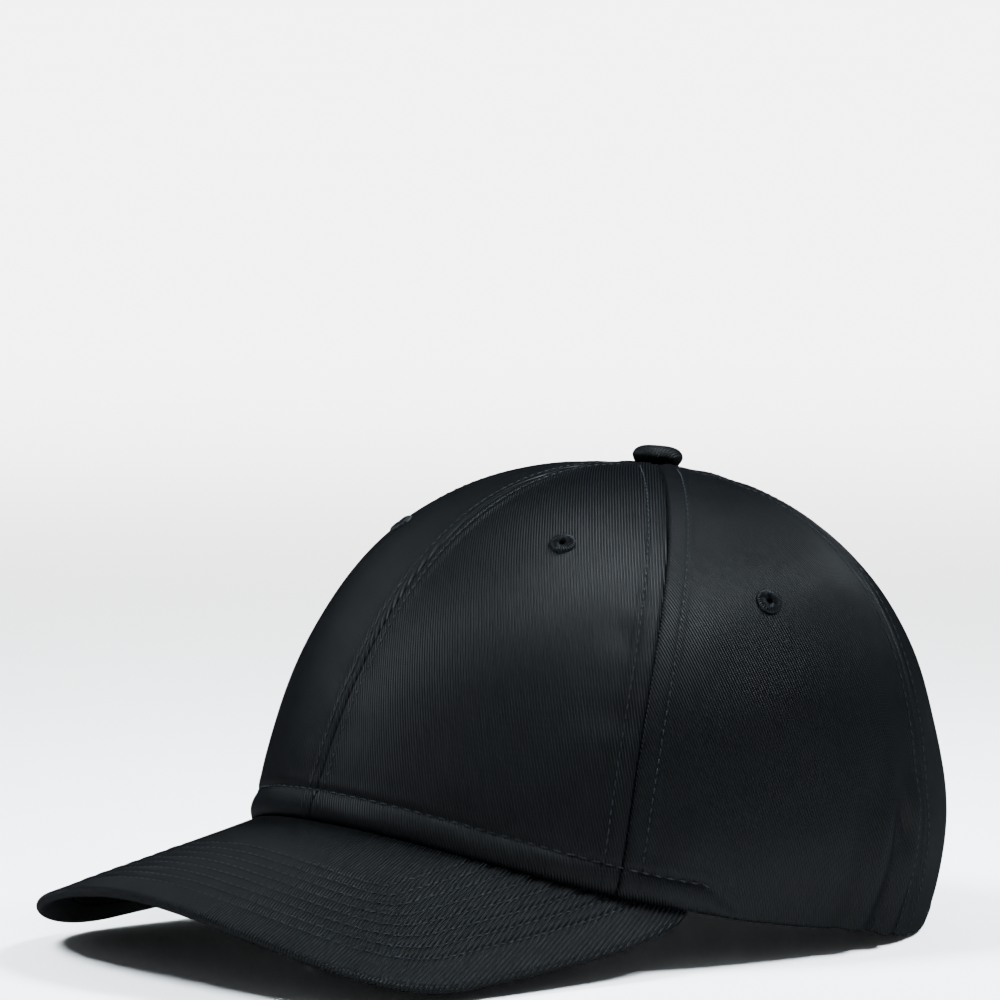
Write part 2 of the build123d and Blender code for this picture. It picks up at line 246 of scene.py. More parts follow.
# Length up the crown from level 0, looked up by angle and level.
table_angles = np.arange(-190.0, 191.0)
table_turns = np.radians(np.linspace(-5.0, math.degrees(math.asin(TOP_LEVEL)), 900))
table_levels = np.sin(table_turns)
table_points = crown(table_angles[:, None], table_levels[None, :])
steps = norm(np.diff(table_points, axis=1))
table = np.concatenate([np.zeros((len(table_angles), 1)), np.cumsum(steps, axis=1)], 1)
table -= np.array([np.interp(0.0, table_levels, row) for row in table])[:, None]


def climb(angle, level):
    """Length up the crown from level 0 to a level."""
    angle, level = matched(angle, level)
    turn = np.arcsin(np.clip(level, table_levels[0], table_levels[-1]))
    step = table_turns[1] - table_turns[0]
    return between(table, angle - table_angles[0], (turn - table_turns[0]) / step)


def level_at(angle, length):
    """Level reached after a length up the crown; one angle, many lengths."""
    column = angle - table_angles[0]
    i = int(column)
    row = table[i] * (1 - column + i) + table[i + 1] * (column - i)
    return np.sin(np.interp(length, row, table_turns))


def level_grid(angles, lengths):
    """Levels after lengths up the crown, with one column for each angle."""
    return np.stack([level_at(float(a), up) for a, up in zip(angles, lengths)], 1)


def side_step(angle, level, distance):
    """Angle of the point a distance along the crown from one at this angle."""
    per_degree = norm(crown(angle + 0.2, level) - crown(angle, level)) / 0.2
    return angle + distance / np.maximum(per_degree, 0.02)


def from_seam(angle, level, seam):
    """Signed distance along the crown from a seam."""
    return norm(crown(angle, level) - crown(seam, level)) * np.sign(angle - seam)


# --- cloth settled by simulation

TRIAL_COLS, TRIAL_ROWS = 29, 49
SETTLE_CAP = 1.1


def grid_faces(rows, cols, first=0):
    index = first + np.arange(rows * cols).reshape(rows, cols)
    corners = (index[:-1, :-1], index[:-1, 1:], index[1:, 1:], index[1:, :-1])
    return np.stack([c.ravel() for c in corners], 1)


def settle(grids, pressure, spare, frames=20):
    """Cloth sewn down along its borders: how each grid point moves, in mm."""
    scene = bpy.context.scene
    count, rows, cols = grids.shape[:3]
    points = grids.reshape(-1, 3) * MM
    faces = [grid_faces(rows, cols, number * rows * cols) for number in range(count)]
    sewn = np.ones((count, rows, cols), bool)
    sewn[:, 1:-1, 1:-1] = False
    mesh = bpy.data.meshes.new("settling")
    mesh.from_pydata(points.tolist(), [], np.concatenate(faces).tolist())
    cloth = bpy.data.objects.new("settling", mesh)
    scene.collection.objects.link(cloth)
    group = cloth.vertex_groups.new(name="sewn")
    group.add(np.flatnonzero(sewn).tolist(), 1.0, "REPLACE")
    modifier = cloth.modifiers.new("Cloth", "CLOTH")
    settings = modifier.settings
    settings.quality = 8
    settings.mass = 0.3
    settings.tension_stiffness = 30
    settings.compression_stiffness = 30
    settings.shear_stiffness = 12
    settings.bending_stiffness = 0.6
    settings.use_pressure = True
    settings.uniform_pressure_force = pressure
    settings.shrink_min = -spare
    settings.vertex_group_mass = group.name
    settings.effector_weights.gravity = 0
    modifier.collision_settings.use_collision = False
    modifier.point_cache.frame_start = 1
    modifier.point_cache.frame_end = frames
    for number in range(1, frames + 1):
        scene.frame_set(number)
    result = cloth.evaluated_get(bpy.context.evaluated_depsgraph_get())
    moved = np.zeros(points.size, np.float32)
    result.data.vertices.foreach_get("co", moved)
    bpy.data.objects.remove(cloth)
    bpy.data.meshes.remove(mesh)
    scene.frame_set(1)
    return ((moved.reshape(-1, 3) - points) / MM).reshape(grids.shape)


def finer(field, times=4):
    """The field on a finer grid, smoothed; every pass turns the grid on its side."""
    for _ in range(2):
        count = len(field)
        marks = np.linspace(0, count - 1, (count - 1) * times + 1)
        field = picked(field, np.arange(count), marks).T
    for _ in range(4 * times):
        padded = np.pad(field, ((1, 1), (0, 0)), mode="edge")
        field = ((padded[:-2] + padded[2:] + 2 * field) / 4).T
    return field


def panel_ends(index, sign):
    """Angles of the two seams of a panel."""
    return tuple(sorted((sign * SEAMS[index], sign * SEAMS[index + 1])))


def panel_trial(start, end):
    """Coarse grid of angles and levels over a whole panel."""
    angles = np.linspace(start, end, TRIAL_COLS)
    low, high = climb(angles, bottom_level(angles)), climb(angles, TOP_LEVEL)
    return angles[None, :], level_grid(angles, np.linspace(low, high, TRIAL_ROWS, axis=1))


PANELS = [panel_ends(index, sign) for index in range(3) for _, sign in SIDES]
fullness = {}

trials = [panel_trial(*panel) for panel in PANELS]
shifts = settle(np.stack([crown(*trial) for trial in trials]), 5.0, 0.0035)
for panel, trial, shift in zip(PANELS, trials, shifts):
    lift = (shift * crown_normal(*trial)).sum(-1)
    lift = SETTLE_CAP * np.tanh(lift / SETTLE_CAP)
    fullness[panel] = finer(lift)


def settled(angle, level):
    """How far the cloth has settled outwards at a point of the crown."""
    if not fullness:
        return np.zeros(np.broadcast(angle, level).shape)
    angle, level = matched(angle, level)
    result = np.zeros(angle.shape)
    bottom = climb(angle, bottom_level(angle))
    up = (climb(angle, level) - bottom) / (climb(angle, TOP_LEVEL) - bottom)
    for (start, end), field in fullness.items():
        inside = (angle >= start) & (angle <= end)
        across = np.clip((angle[inside] - start) / (end - start), 0, 1)
        rows, cols = field.shape
        result[inside] = between(field, up[inside] * (rows - 1), across * (cols - 1))
    return result


# --- relief of the crown

MEAN_RADIUS = 85.0
FAR = 99.0

# Distance of the stitch rows from each seam, and the width of the folded cloth.
SEAM_ROWS = {0.0: (3.0, 5.0), 53.6: (5.4, 6.6), 107.2: (3.4, 5.4), 180.0: (3.0, 5.0)}


def seam_relief(gap, row, fold):
    """Ridge of folded cloth beside a seam, with its groove and stitch row."""
    gap = np.abs(gap)
    height = 0.3 * (1 - ease(gap, fold - 0.7, fold + 1.1))
    height += 0.12 * bell(gap, row / 2, row / 2.6)
    height -= 0.5 * bell(gap, 0.0, 0.5)
    return height - 0.26 * bell(gap, row, 0.55)


def roll_width(angle):
    """Height of the sewn roll above the visor; it runs out in a small tuck."""
    return HEM_ROLL * (1 - np.clip((np.abs(angle) - 65.5) / 7.5, 0, 1))


WAVES = []
for _ in range(16):
    direction = random.uniform(0, 2 * np.pi)
    length = random.uniform(26, 60)
    WAVES.append((direction, length, random.uniform(0, 2 * np.pi), random.uniform(0.4, 1)))


def soft_waves(u, v):
    """Slow unevenness of cloth that is not perfectly smooth."""
    total = np.zeros(np.broadcast(u, v).shape)
    for direction, length, phase, size in WAVES:
        path = u * math.cos(direction) + v * math.sin(direction)
        total += size * np.sin(2 * np.pi * path / length + phase)
    return total / 8


def puckers(angle, level, height):
    """Folds drawn in beside the seam between a side and a back panel."""
    total = np.zeros(np.shape(height))
    for side in (1, -1):
        gap = -side * from_seam(angle, level, side * SEAMS[2])
        slant = gap + 0.16 * (height - 26)
        fade = ease(gap, 1.0, 6.0) * (1 - ease(gap, 15, 38))
        fade = fade * (1 - ease(height, 30, 58)) * (gap > 0)
        total += 1.25 * fade * np.sin(2 * np.pi * (slant - 3.0) / (11.0 + 0.06 * gap))
        knot = bell(gap, 7.5, 4.2) * bell(height, 40, 7.0) * (gap > 0)
        total += 1.15 * knot - 0.8 * bell(gap, 9, 4) * bell(height, 30, 5) * (gap > 0)
    return total


def relief(angle, level):
    """How far the cloth's face stands off the crown."""
    angle, level = matched(angle, level)
    length = climb(angle, level)
    height = length - climb(angle, edge_level(angle))
    size = np.abs(angle)
    stand = settled(angle, level)
    lining = ease(size, SEAMS[1] - 4, SEAMS[1] + 6)
    around = np.radians(angle) * MEAN_RADIUS
    nearest = np.full(angle.shape, FAR)
    for seam, (row, fold) in SEAM_ROWS.items():
        for line in sorted({-seam, seam}):
            gap = np.abs(from_seam(angle, level, line))
            gap = np.where(np.abs(angle - line) > 40, FAR, gap)
            nearest = np.minimum(nearest, gap)
            stand = stand + np.where(gap < 12, seam_relief(gap, row, fold), 0)
    # Cloth away from the seams waves, and more so where no lining stiffens it.
    free = ease(nearest, 5, 20)
    stand = stand + (0.16 + 0.34 * lining) * soft_waves(around, length) * free
    stand = stand + puckers(angle, level, height)
    # The sewn roll above the visor is pulled in at every stitch.
    roll = np.maximum(roll_width(angle), 0.01)
    share = np.clip(height / roll, 0, 1)
    over = roll / HEM_ROLL
    stand = stand + over * (0.85 * np.sin(np.pi * share**0.8) - 0.6 * (1 - share) ** 4)
    pulled = 0.7 + 0.3 * np.cos(2 * np.pi * around / STITCH_PITCH)
    stand = stand - 0.5 * over * bell(height, roll, 0.9) * pulled
    stand = stand + 0.2 * over * bell(height, roll + 2.2, 1.6)
    # Behind the visor the rim is turned up; the crown's edge is rounded all the way.
    rim = (1 - over) * (size > VISOR_ANGLE)
    stand = stand + rim * 0.22 * (1 - ease(height, 6.0, 8.0)) * (height > -1)
    stand = stand - 0.42 * bell(np.minimum(np.abs(height), 9), 0.0, 0.5) * (1 - 0.4 * over)
    # The binding is folded round the arch and sewn in two rows.
    near_arch = (size > ARCH_ANGLES[0] - 12) & (level < 0.52)
    if near_arch.any():
        spots = crown(size[near_arch], level[near_arch])
        gap = np.full(len(spots), FAR)
        for point in ARCH_POINTS[::4]:
            gap = np.minimum(gap, norm(spots - point))
        dip = sum(0.2 * bell(gap, row, 0.6) for row in ARCH_ROWS)
        ridge = 0.26 * (1 - ease(gap, 8.6, 10.2)) - 0.4 * bell(gap, 0.0, 0.7)
        stand[near_arch] += ridge - dip
    return stand


def skin(angle, level, lift=0.0):
    """Points of the finished outer face of the crown cloth."""
    normal = crown_normal(angle, level)
    return crown(angle, level) + normal * (relief(angle, level) + lift)[..., None]


# --- mesh builders


def new_piece(name, points, faces, material, uv=None):
    mesh = bpy.data.meshes.new(name)
    mesh.from_pydata((np.asarray(points) * MM).tolist(), [], np.asarray(faces).tolist())
    mesh.polygons.foreach_set("use_smooth", np.ones(len(mesh.polygons), bool))
    if uv is not None:
        corners = np.zeros(len(mesh.loops), np.int32)
        mesh.loops.foreach_get("vertex_index", corners)
        layer = mesh.uv_layers.new(name="weave")
        layer.data.foreach_set("uv", uv[corners].astype(np.float32).ravel())
    mesh.materials.append(material)
    mesh.validate()
    piece = bpy.data.objects.new(name, mesh)
    bpy.context.scene.collection.objects.link(piece)
    return piece


def cloth_piece(name, outer, inner, uv, material, keep=None):
    """Closed sheet of cloth between two matching grids, with holes where keep is off."""
    rows, cols = outer.shape[:2]
    count = rows * cols
    cells = np.ones((rows - 1, cols - 1), bool) if keep is None else keep
    index = np.arange(count).reshape(rows, cols)
    a, b = index[:-1, :-1], index[:-1, 1:]
    c, d = index[1:, 1:], index[1:, :-1]
    face = np.stack([a, b, c, d], -1)
    out = face[cells]
    faces = [out, out[:, ::-1] + count]
    framed = np.pad(cells, 1)
    open_sides = (
        (framed[:-2, 1:-1], a, b),
        (framed[1:-1, 2:], b, c),
        (framed[2:, 1:-1], c, d),
        (framed[1:-1, :-2], d, a),
    )
    for neighbour, first, second in open_sides:
        bare = cells & ~neighbour
        f, s = first[bare], second[bare]
        faces.append(np.stack([s, f, f + count, s + count], 1))
    points = np.concatenate([outer.reshape(-1, 3), inner.reshape(-1, 3)])
    faces = np.concatenate(faces)
    used, packed = np.unique(faces, return_inverse=True)
    both = np.concatenate([uv.reshape(-1, 2)] * 2)[used]
    return new_piece(name, points[used], packed.reshape(-1, 4), material, both)


def follow_visor(piece):
    """Lets the cloth beside the visor bend with it, and leaves the rest still."""
    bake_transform(piece, "crown", "visor", start=(0, 0, 0.08), end=(0, -0.1, 0.03))
    count = len(piece.data.vertices)
    spots = np.zeros(count * 3, np.float32)
    piece.data.vertices.foreach_get("co", spots)
    x, y, z = spots.reshape(-1, 3).T.astype(float) / MM
    reach = np.where(y < 0, CROWN_FRONT, CROWN_BACK)
    angle = np.abs(np.degrees(np.arctan2(x / CROWN_SIDE, -y / reach)))
    half = np.clip(x, -ROOT_RADIUS + 1, ROOT_RADIUS - 1)
    over = z - np.where(angle < VISOR_ANGLE, sheet_height(half, y), rim_height(angle))
    weight = (1 - ease(over, 4, 40)) * (1 - ease(angle, 65, 86))
    weights = piece.data.attributes["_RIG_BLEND"].data
    weights.foreach_set("value", weight.astype(np.float32))


def carry(piece, body):
    """Rides a piece on a body; with no body it bends between the crown and the visor."""
    if body:
        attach(piece, body)
    else:
        follow_visor(piece)


def dress(piece, node, body=None):
    """Shows a piece in place of a CAD node."""
    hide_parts(node)
    carry(piece, body)


# --- materials


def feed(tree, node, **inputs):
    """Sets a node's sockets: an output is linked, and a number stays on the socket."""
    for key, value in inputs.items():
        socket = node.inputs[key.replace("_", " ")]
        if isinstance(value, bpy.types.NodeSocket):
            tree.links.new(value, socket)
        else:
            socket.default_value = value


def add_node(tree, kind, **inputs):
    node = tree.nodes.new(kind)
    feed(tree, node, **inputs)
    return node


def material_nodes(name, roughness):
    material = bpy.data.materials.new(name)
    material.use_nodes = True
    tree = material.node_tree
    shader = tree.nodes["Principled BSDF"]
    feed(tree, shader, Roughness=roughness)
    return material, tree, shader


def math_node(tree, operation, first, second):
    node = tree.nodes.new("ShaderNodeMath")
    node.operation = operation
    for socket, value in zip(node.inputs, (first, second)):
        if isinstance(value, (int, float)):
            socket.default_value = value
        else:
            tree.links.new(value, socket)
    return node.outputs[0]


def times(tree, first, second):
    return math_node(tree, "MULTIPLY", first, second)


def plus(tree, first, second):
    return math_node(tree, "ADD", first, second)


def ramp(tree, value, low, high):
    """Colour between two, by a value from 0 to 1."""
    mix = tree.nodes.new("ShaderNodeMix")
    mix.data_type = "RGBA"
    feed(tree, mix, A=(*low, 1), B=(*high, 1), Factor=value)
    return mix.outputs["Result"]


def noise(tree, vector, scale, detail=2.0):
    node = add_node(tree, "ShaderNodeTexNoise", Vector=vector, Scale=scale, Detail=detail)
    return node.outputs["Fac"]


def bands(tree, vector, pitch, distortion, detail_scale):
    """Even ribs across the x of a vector in mm, 0 to 1."""
    node = add_node(tree, "ShaderNodeTexWave", Vector=vector, Scale=math.pi / 10 / pitch)
    feed(tree, node, Distortion=distortion, Detail=1.0, Detail_Scale=detail_scale)
    return node.outputs["Fac"]


def turned(tree, vector, degrees):
    turn = (0, 0, math.radians(degrees))
    return add_node(tree, "ShaderNodeMapping", Vector=vector, Rotation=turn).outputs["Vector"]


def object_coords(tree):
    return tree.nodes.new("ShaderNodeTexCoord").outputs["Object"]


def weave_coords(tree):
    place = tree.nodes.new("ShaderNodeUVMap")
    place.uv_map = "weave"
    return place.outputs["UV"]


def bump(tree, height, strength, depth):
    """Normal of a surface raised by a height, with its depth in mm."""
    lump = add_node(tree, "ShaderNodeBump", Height=height, Strength=strength, Distance=depth * MM)
    return lump.outputs["Normal"]


# Cloth gloss is a weak, broad coat, so low angles don't turn it into a mirror.
CLOTH_COAT_WEIGHT = 0.012
CLOTH_COAT_ROUGHNESS = 0.37
CLOTH_COAT_IOR = 4.0


def cloth_gloss(tree, shader, normal):
    """Bumps and the satin gloss that twill and thread share."""
    feed(tree, shader, Normal=normal, Coat_Normal=normal, Specular_IOR_Level=0.0)
    feed(tree, shader, Coat_Weight=CLOTH_COAT_WEIGHT, Coat_IOR=CLOTH_COAT_IOR)
    feed(tree, shader, Coat_Roughness=CLOTH_COAT_ROUGHNESS)


def twill(name, low, high, pitch=RIB_PITCH, lean=RIB_LEAN, depth=0.17):
    """Woven cloth with steep diagonal ribs made of short thread floats; its colour carries painted shade in
    the rib valleys and random slub and fuzz tone.
    """
    material, tree, shader = material_nodes(name, 0.62)
    coords = weave_coords(tree)
    ribs = bands(tree, turned(tree, coords, -lean), pitch, 0.35, 0.25)
    floats = bands(tree, turned(tree, coords, 58 - lean), pitch * 0.62, 0.5, 0.4)
    yarn = times(tree, times(tree, ribs, plus(tree, floats, 1.2)), 0.4545)
    # The rib height sets the colour below, so the valleys between the ribs carry painted shade; the slub and
    # fuzz noise add random tone.
    ridge = math_node(tree, "POWER", yarn, 1.5)
    slub = noise(tree, coords, 0.11, 3.0)
    fuzz = noise(tree, coords, 2.3)
    tone = times(tree, ridge, plus(tree, slub, 0.5))
    tone = times(tree, tone, plus(tree, fuzz, 0.5))
    rough = plus(tree, times(tree, slub, 0.16), 0.38)
    feed(tree, shader, Base_Color=ramp(tree, tone, low, high), Roughness=rough)
    height = plus(tree, yarn, times(tree, fuzz, 0.25))
    cloth_gloss(tree, shader, bump(tree, height, 1.0, depth))
    return material


def thread_material(name, low, high):
    """Twisted sewing thread, a little glossier than the cloth."""
    material, tree, shader = material_nodes(name, 0.42)
    coords = object_coords(tree)
    strand = noise(tree, coords, 2600.0)
    patch = noise(tree, coords, 60.0)
    tone = times(tree, strand, plus(tree, patch, 0.5))
    feed(tree, shader, Base_Color=ramp(tree, tone, low, high))
    cloth_gloss(tree, shader, bump(tree, strand, 0.6, 0.06))
    return material


def buckram_material(name):
    """Stiffened open gauze: two crossing sets of threads with small gaps."""
    material, tree, shader = material_nodes(name, 0.7)
    coords = weave_coords(tree)
    warp = bands(tree, coords, 1.1, 0.4, 0.5)
    weft = bands(tree, turned(tree, coords, 90), 1.1, 0.4, 0.5)
    net = math_node(tree, "MAXIMUM", warp, weft)
    net = times(tree, net, plus(tree, noise(tree, coords, 1.2), 0.5))
    colour = ramp(tree, net, (0.16, 0.16, 0.15), (0.7, 0.7, 0.66))
    feed(tree, shader, Base_Color=colour, Normal=bump(tree, net, 0.9, 0.3))
    return material


def hard_material(name, low, high, roughness, metallic, grain, depth, gloss=0.5):
    """Moulded plastic or plated metal with a fine uneven surface."""
    material, tree, shader = material_nodes(name, roughness)
    coords = object_coords(tree)
    fine = noise(tree, coords, grain, 3.0)
    patch = noise(tree, coords, grain / 40)
    rough = plus(tree, times(tree, patch, 0.22), roughness - 0.1)
    feed(tree, shader, Base_Color=ramp(tree, patch, low, high), Roughness=rough)
    feed(tree, shader, Normal=bump(tree, fine, 0.5, depth))
    feed(tree, shader, Metallic=metallic, Specular_IOR_Level=gloss)
    return material


# The darker twill colour is painted shade at the bottom of the rib valleys; the lighter one is the colour of
# the rib tops.
CLOTH_VALLEY_SHADE = (0.0001, 0.0001, 0.0001)
CLOTH_LIGHT = (0.0026, 0.0034, 0.0042)
crown_twill = twill("crown_twill", CLOTH_VALLEY_SHADE, CLOTH_LIGHT)
visor_twill = twill("visor_twill", CLOTH_VALLEY_SHADE, CLOTH_LIGHT, pitch=0.95, depth=0.42)
button_twill = twill("button_twill", CLOTH_VALLEY_SHADE, CLOTH_LIGHT, pitch=0.75)
# The first colour of the band and tape twill is painted shade in their rib valleys too.
band_twill = twill("band_twill", (0.0004, 0.0004, 0.0005), (0.007, 0.008, 0.009), 0.6, 45)
tape_twill = twill("tape_twill", (0.0006, 0.0006, 0.0007), (0.010, 0.011, 0.012), 1.1, 90)
thread = thread_material("thread_black", (0.0010, 0.0013, 0.0016), (0.0130, 0.0160, 0.0190))
ring_thread = thread_material("thread_eyelet", (0.0003, 0.0004, 0.0005), (0.004, 0.005, 0.006))
gauze = buckram_material("buckram_gauze")
plastic = hard_material(
    "strap_satin", (0.002, 0.002, 0.0022), (0.004, 0.004, 0.0044), 0.42, 0.0, 1400.0, 0.03, 0.12
)
plated = hard_material(
    "plated_metal", (0.42, 0.42, 0.43), (0.62, 0.62, 0.63), 0.32, 1.0, 900.0, 0.02
)
board = hard_material("board_fibre", (0.05, 0.05, 0.05), (0.13, 0.13, 0.13), 0.6, 0.0, 500.0, 0.1)


# --- crown panels

# Each panel is cut from its own patch of the weave.
WEAVE_APART = 37.0
PANEL_HOLE, LINING_HOLE = 2.4, 3.0
LINING_TOP, LINING_BASE = 1.0, 1.7
LINING_GAP_BELOW, LINING_GAP_ABOVE = 1.0, 3.5


def cloth_columns(start, end):
    """Column angles, closer together beside the two seams."""
    fine = np.concatenate([np.arange(0, 9, 0.45), [9.2, 10.2, 11.4]])
    width = (end - start) / 53.6 * 92
    middle = np.linspace(12.8, width - 12.8, int((width - 25.6) / 1.35))
    marks = np.concatenate([fine, middle, (width - fine)[::-1]]) / width
    return start + marks * (end - start)


def column_levels(angle, bottom):
    low, high = climb(angle, bottom), climb(angle, TOP_LEVEL)
    fine = np.concatenate([np.arange(0, 12, 0.5), [12.6, 13.4, 14.4]])
    rest = np.linspace(15.6, high - low, 128)
    return level_at(float(angle), low + np.concatenate([fine, rest]))


def weave_uv(angles, levels, middle):
    """Flat cloth coordinates in mm, with the grain along the panel's middle."""
    turn = np.radians(angles - middle) / 2
    chord = norm(crown(angles, levels) - crown(middle, levels))
    across = chord * turn / np.where(np.abs(turn) < 1e-6, 1.0, np.sin(np.abs(turn)))
    across = np.where(np.abs(turn) < 1e-6, 0.0, across)
    return np.stack([across, climb(middle, levels)], -1)


def hole_cells(points, centre, radius):
    """Grid cells to keep round a hole."""
    middle = (points[:-1, :-1] + points[1:, 1:] + points[:-1, 1:] + points[1:, :-1]) / 4
    return norm(middle - centre) > radius


def layer_grid(angles, levels, depth):
    """Grid that lies under the crown's outer surface by a depth."""
    return crown(angles, levels) - crown_normal(angles, levels) * depth


def panel_bottom(index, sign):
    """Column angles of a panel and the levels of its lower edge."""
    start, end = panel_ends(index, sign)
    if index < 2:
        angles = cloth_columns(start + SEAM_GAP, end - SEAM_GAP)
        return angles, edge_level(angles)
    before = cloth_columns(SEAMS[2] + SEAM_GAP, SEAMS[3] - SEAM_GAP)
    before = before[before < ARCH_ANGLES[0] - 0.4]
    over, over_levels = arch_spot(np.linspace(0, 89.85, 90))
    angles = np.concatenate([before, over])
    bottoms = np.concatenate([edge_level(before), over_levels])
    return (angles, bottoms) if sign > 0 else (-angles[::-1], bottoms[::-1])


def lining_grid(start, end):
    """Angles and levels of a front lining, which ends short of the crown's top."""
    angles = np.linspace(start + 0.4, end - 0.4, 60)
    low = climb(angles, edge_level(angles)) + LINING_GAP_BELOW
    high = climb(angles, TOP_LEVEL) - LINING_GAP_ABOVE
    levels = level_grid(angles, np.linspace(low, high, 90, axis=1))
    return np.broadcast_to(angles[None, :], levels.shape), levels


for index, part in enumerate(EYELETS):
    for side_name, sign in SIDES:
        name = f"{part}_panel_{side_name}"
        angles, bottoms = panel_bottom(index, sign)
        levels = np.stack([column_levels(a, b) for a, b in zip(angles, bottoms)], 1)
        angles = np.broadcast_to(angles[None, :], levels.shape)
        middle = sum(panel_ends(index, sign)) / 2
        spot, spot_level = EYELETS[part]
        eye = crown(sign * spot, spot_level)
        outer, inner = skin(angles, levels), layer_grid(angles, levels, CLOTH * 0.95)
        keep = hole_cells(crown(angles, levels), eye, PANEL_HOLE)
        uv = weave_uv(angles, levels, middle) + WEAVE_APART * (index + 3 * (sign < 0))
        panel = cloth_piece(f"cloth_{name}", outer, inner, uv, crown_twill, keep)
        dress(panel, name, "crown" if part == "back" else None)
        if part == "front":
            spread, lined = lining_grid(*panel_ends(index, sign))
            face = layer_grid(spread, lined, LINING_TOP)
            rear = layer_grid(spread, lined, LINING_BASE)
            keep = hole_cells(face, eye, LINING_HOLE)
            uv = weave_uv(spread, lined, middle)
            lining = cloth_piece(f"gauze_{side_name}", face, rear, uv, gauze, keep)
            dress(lining, f"front_buckram_{side_name}")


# --- tapes, sweatband and binding

TAPES = {
    "front_center": SEAMS[0],
    "front_left": SEAMS[1],
    "front_right": -SEAMS[1],
    "back_left": SEAMS[2],
    "back_right": -SEAMS[2],
    "back_center": SEAMS[3],
}
TAPE_HALF, TAPE_THICK = 8.0, 0.6
TAPE_DEPTH = {"front": 1.8, "back": 1.0}


def tape_grid(seam, half, first, last, rows, cols):
    """Angles and levels of a strip of even width along a seam."""
    lengths = np.linspace(first, last, rows)
    spine = level_at(seam if seam < 180 else 179.9, lengths)
    middle, step = cols // 2, 2 * half / (cols - 1)
    angles = np.full((rows, cols), seam)
    for count in range(1, middle + 1):
        left, right = middle - count, middle + count
        angles[:, left] = side_step(angles[:, left + 1], spine, -step)
        angles[:, right] = side_step(angles[:, right - 1], spine, step)
    return angles, np.repeat(spine[:, None], cols, 1)


for place, seam in TAPES.items():
    part = place.split("_")[0]
    if place == "back_center":
        first = climb(180.0, ARCH_LEVELS[-1]) + 11.0
    else:
        first = climb(seam, edge_level(seam)) + 2.5
    last = climb(seam, TOP_LEVEL) - SEAM_TOP_GAP
    angles, levels = tape_grid(seam, TAPE_HALF, first, last, 130, 25)
    across = np.linspace(-TAPE_HALF, TAPE_HALF, 25)[None, :]
    row = SEAM_ROWS[abs(seam)][0]
    swell = 0.18 * (1 - bell(np.abs(across), row, 0.9)) - 0.1 * bell(across, 0.0, 1.0)
    swell = np.broadcast_to(swell, levels.shape)[..., None]
    face = layer_grid(angles, levels, TAPE_DEPTH[part])
    rear = layer_grid(angles, levels, TAPE_DEPTH[part] + TAPE_THICK + swell)
    length = climb(seam, levels)
    uv = np.stack([np.broadcast_to(across, levels.shape), length], -1)
    tape = cloth_piece(f"tape_{place}", face, rear, uv, tape_twill)
    dress(tape, f"seam_tape_{place}", None if part == "front" else "crown")

band_end = 180 - math.degrees(math.asin(BAND_HALF_GAP / (CROWN_SIDE - 7.5)))
band_angles = np.linspace(-band_end, band_end, 420)
band_rows = np.concatenate([np.linspace(1.5, 4.5, 7), np.linspace(5.5, BAND_RISE + 1.5, 34)])
band_low = climb(band_angles, edge_level(band_angles))
band_levels = level_grid(band_angles, band_low[:, None] + band_rows)
band_spread = np.broadcast_to(band_angles[None, :], band_levels.shape)
band_up = np.repeat(band_rows[:, None], len(band_angles), 1)
band_share = (band_up - 1.5) / BAND_RISE
band_puff = 0.55 * np.sin(np.pi * np.clip((band_up - 5) / (BAND_RISE - 6.5), 0, 1)) ** 0.5
band_puff = band_puff * (1 + 0.2 * soft_waves(np.radians(band_spread) * MEAN_RADIUS, band_up * 2))
band_puff -= 0.25 * bell(band_up, BAND_ROWS[0], 0.8) + 0.2 * bell(band_up, BAND_ROWS[1], 0.8)
band_front = layer_grid(band_spread, band_levels, BAND_DEPTH)
band_stand = (BAND_DEPTH + BAND_THICK + band_puff)[..., None]
band_back = layer_grid(band_spread, band_levels, band_stand)
round_over = 0.35 * (bell(band_share, 1.0, 0.02) + bell(band_share, 0.0, 0.02))
band_front -= crown_normal(band_spread, band_levels) * round_over[..., None]
band_uv = np.stack([np.radians(band_spread) * 84, band_up], -1)
sweatband = cloth_piece("sweatband_cloth", band_front, band_back, band_uv, band_twill)
dress(sweatband, "sweatband")

binding_turns = np.linspace(0, 180, 240)
binding_angles, binding_levels = arch_spot(np.minimum(binding_turns, 180 - binding_turns))
mirror = np.where(binding_turns > 90, -1, 1)
spine = crown(mirror * binding_angles, binding_levels)
spine_normal = crown_normal(mirror * binding_angles, binding_levels)
spine_along = unit(np.gradient(spine, axis=0))
spine_out = unit(np.cross(spine_along, spine_normal))
spine_out *= np.sign((spine_out * (spine - np.array([0, 60.0, 0]))).sum(-1, keepdims=True))
widths = np.linspace(0.0, 10.5, 14)
grid = spine[None, :, :] + widths[:, None, None] * spine_out[None, :, :]
tape_angles, tape_levels = back_spot(grid[..., 0], np.maximum(grid[..., 2], 0.1))
binding_face = layer_grid(tape_angles, tape_levels, 1.0)
binding_rear = layer_grid(tape_angles, tape_levels, 1.75)
binding_uv = np.stack(np.broadcast_arrays(widths[:, None], run_length(spine)[None, :]), -1)
binding = cloth_piece("arch_tape", binding_face, binding_rear, binding_uv, tape_twill)
dress(binding, "back_arch_binding", "crown")


# --- eyelets, button


def frame_at(centre, normal):
    side = unit(np.cross(normal, np.array([0.0, 0.0, 1.0])))
    return centre, side, np.cross(normal, side), normal


def ring_faces(rows, columns):
    """Faces between closed rings of points."""
    index = np.arange(rows * columns).reshape(rows, columns)
    after = np.roll(index, -1, axis=1)
    return np.stack([index[:-1], after[:-1], after[1:], index[1:]], -1).reshape(-1, 4)


